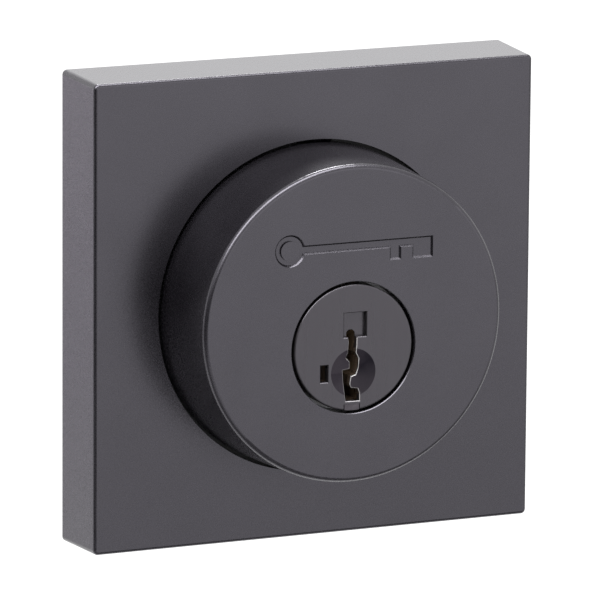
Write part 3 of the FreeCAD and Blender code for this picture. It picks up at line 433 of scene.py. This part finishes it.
def coil(name, start, end, radius, wire, turns, sides=10, steps=20):
    """A compression spring between two points, with closed ends, as one swept tube."""
    along = end - start
    length = along.length
    across = along.orthogonal().normalized()
    other = along.normalized().cross(across)
    count = int(turns * steps)
    middle = radius - wire / 2
    # the first and last turns lie almost flat against what they bear on
    closed = 1.0 / turns
    slope = 0.1
    vertices = []
    faces = []
    centres = []
    for step in range(count + 1):
        share = step / count
        rise = min(max((share - closed) / (1 - 2 * closed), 0.0), 1.0)
        lift = wire / 2 + (length - wire) * ((1 - slope) * rise + slope * share)
        angle = 2 * math.pi * turns * share
        radial = across * math.cos(angle) + other * math.sin(angle)
        centres.append((start + along.normalized() * lift + radial * middle, radial))
    for step, (centre, radial) in enumerate(centres):
        before = centres[max(step - 1, 0)][0]
        after = centres[min(step + 1, count)][0]
        ahead = (after - before).normalized()
        side = ahead.cross(radial).normalized()
        for corner in range(sides):
            turn = 2 * math.pi * corner / sides
            vertices.append(centre + (radial * math.cos(turn) + side * math.sin(turn)) * wire / 2)
    for step in range(count):
        for corner in range(sides):
            following = (corner + 1) % sides
            first = step * sides
            second = first + sides
            faces.append((first + corner, first + following, second + following, second + corner))
    faces.append(tuple(reversed(range(sides))))
    faces.append(tuple(range(count * sides, (count + 1) * sides)))
    mesh = bpy.data.meshes.new(name)
    mesh.from_pydata([tuple(vertex) for vertex in vertices], [], faces)
    mesh.polygons.foreach_set("use_smooth", [True] * len(mesh.polygons))
    mesh.materials.append(MATERIALS["spring_steel"])
    piece = bpy.data.objects.new(name, mesh)
    bpy.context.scene.collection.objects.link(piece)
    return piece


def replace_spring(node, body, axis, wire, turns):
    """Put a coil where a CAD spring is, from its low end to its high end, on the spring's body.
    """
    low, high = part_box(node)
    middle = (low + high) / 2
    half = (high - low)[axis] / 2
    direction = Vector([1.0 if k == axis else 0.0 for k in range(3)])
    radius = min((high - low)[k] for k in range(3) if k != axis) / 2
    anchor = middle + direction * half
    piece = coil(node + "_coil", middle - direction * half, anchor, radius, wire, turns)
    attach(piece, body)
    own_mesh(piece)
    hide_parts(node)


def coil_springs():
    for number in range(1, PIN_COUNT + 1):
        replace_spring(f"pin_spring_{number}", "plug", Z, 0.22 * MM, 11)
    replace_spring("carrier_spring", "plug", Y, 0.28 * MM, 11)
    for number in (1, 2):
        replace_spring(f"sidebar_spring_{number}", "carrier", X, 0.14 * MM, 8)


# Stage ----------------------------------------------------------------------------------------

def pale_floor():
    """A plain pale floor well below the lock, which a door would hold up."""
    mesh = bpy.data.meshes.new("floor")
    half = 6.0
    level = -0.30
    corners = [(-half, -half), (half, -half), (half, half), (-half, half)]
    mesh.from_pydata([(x, y, level) for x, y in corners], [], [(0, 1, 2, 3)])
    material, kit = new_material("floor", (0.6, 0.6, 0.6), roughness=0.9, specular=0.1)
    kit.colour(kit.colours(kit.noise(0.002), (0.3, (0.59, 0.59, 0.59)), (0.7, (0.61, 0.61, 0.61))))
    mesh.materials.append(material)
    floor = bpy.data.objects.new("floor", mesh)
    bpy.context.scene.collection.objects.link(floor)


def white_surroundings():
    """Even white light from all round."""
    world = bpy.data.worlds.new("studio")
    bpy.context.scene.world = world
    world.use_nodes = True
    background = world.node_tree.nodes["Background"]
    background.inputs["Color"].default_value = (1, 1, 1, 1)
    background.inputs["Strength"].default_value = 1.3


def card(name, low, high, corners):
    """A card that only shows as a reflection in the lock, shaded from its low edge to its high one."""
    mesh = bpy.data.meshes.new(name)
    mesh.from_pydata(corners, [], [(0, 1, 2, 3)])
    material, kit = new_material(name, low, roughness=0.9, specular=0.0)
    height = kit.node("ShaderNodeSeparateXYZ")
    kit.link(kit.place, height.inputs["Vector"])
    levels = [corner[Z] / MM for corner in corners]
    # 1 mm past the top, so that a card that lies flat has a range too
    share = kit.ramp(height.outputs["Z"], 0.0, 1.0, min(levels), max(levels) + 1)
    kit.colour(kit.colours(share, (0.0, low), (1.0, high)))
    mesh.materials.append(material)
    piece = bpy.data.objects.new(name, mesh)
    piece.visible_camera = False
    piece.visible_diffuse = False
    piece.visible_shadow = False
    bpy.context.scene.collection.objects.link(piece)


def cards():
    """Dark ones to the camera's left and below the lock, and a pale mauve one behind on the left."""
    card("card_left", (0.019, 0.019, 0.02), (0.021, 0.021, 0.022), [
        (-0.20, -1.25, -0.28), (-0.85, 0.05, -0.28), (-0.85, 0.05, 0.16), (-0.20, -1.25, 0.16),
    ])
    card("card_below", (0.12, 0.12, 0.12), (0.125, 0.125, 0.125), [
        (-0.80, -0.08, -0.25), (0.50, -0.08, -0.25), (0.50, -0.42, -0.25), (-0.80, -0.42, -0.25),
    ])
    card("card_behind", (0.50, 0.465, 0.535), (0.98, 0.93, 1.0), [
        (-1.10, 0.75, -0.29), (-0.05, 1.15, -0.29), (-0.05, 1.15, -0.05), (-1.10, 0.75, -0.05),
    ])


def softbox(name, place, target, width, height, power, along=(1, 0, 0)):
    """A lamp that faces the target, with its width along the given direction."""
    light = bpy.data.lights.new(name, "AREA")
    light.shape = "RECTANGLE"
    light.size = width
    light.size_y = height
    light.energy = power
    away = (Vector(place) - Vector(target)).normalized()
    wide = Vector(along) - away * away.dot(Vector(along))
    wide.normalize()
    turned = Matrix((wide, away.cross(wide), away)).transposed()
    lamp = bpy.data.objects.new(name, light)
    lamp.matrix_world = Matrix.Translation(place) @ turned.to_4x4()
    bpy.context.scene.collection.objects.link(lamp)


def studio_lights():
    softbox("behind", (0.35, 0.80, 0.42), (0, 0, 0), 0.9, 0.45, 0.5)
    softbox("backdrop", (0.65, 1.55, 1.80), (0.65, 1.45, -0.30), 0.6, 0.6, 30.0)
    softbox("front", (0.50, -1.14, -0.10), (0, 0, 0), 1.1, 1.1, 3.7)
    softbox("overhead", (-0.15, -0.24, 0.53), (0, 0, 0), 0.95, 0.30, 10.2, along=(-0.92, -0.19, -0.34))


def camera():
    """The camera at the photograph's angle."""
    forward = Vector((
        math.sin(CAMERA_YAW) * math.cos(CAMERA_PITCH),
        math.cos(CAMERA_YAW) * math.cos(CAMERA_PITCH),
        -math.sin(CAMERA_PITCH),
    ))
    level_right = Vector((math.cos(CAMERA_YAW), -math.sin(CAMERA_YAW), 0))
    level_up = level_right.cross(forward)
    right = level_right * math.cos(CAMERA_ROLL) + level_up * math.sin(CAMERA_ROLL)
    up = level_up * math.cos(CAMERA_ROLL) - level_right * math.sin(CAMERA_ROLL)
    data = bpy.data.cameras.new("camera")
    data.lens = CAMERA_LENS_MM
    data.sensor_width = 36.0
    data.clip_start = 0.05
    data.clip_end = 50.0
    eye = bpy.data.objects.new("camera", data)
    turned = Matrix((right, up, -forward)).transposed()
    eye.matrix_world = Matrix.Translation(CAMERA_TARGET - forward * CAMERA_DISTANCE) @ turned.to_4x4()
    bpy.context.scene.collection.objects.link(eye)
    bpy.context.scene.camera = eye


dress_cad_nodes()
coil_springs()
pale_floor()
white_surroundings()
cards()
studio_lights()
camera()
bpy.context.scene.view_settings.view_transform = "Standard"
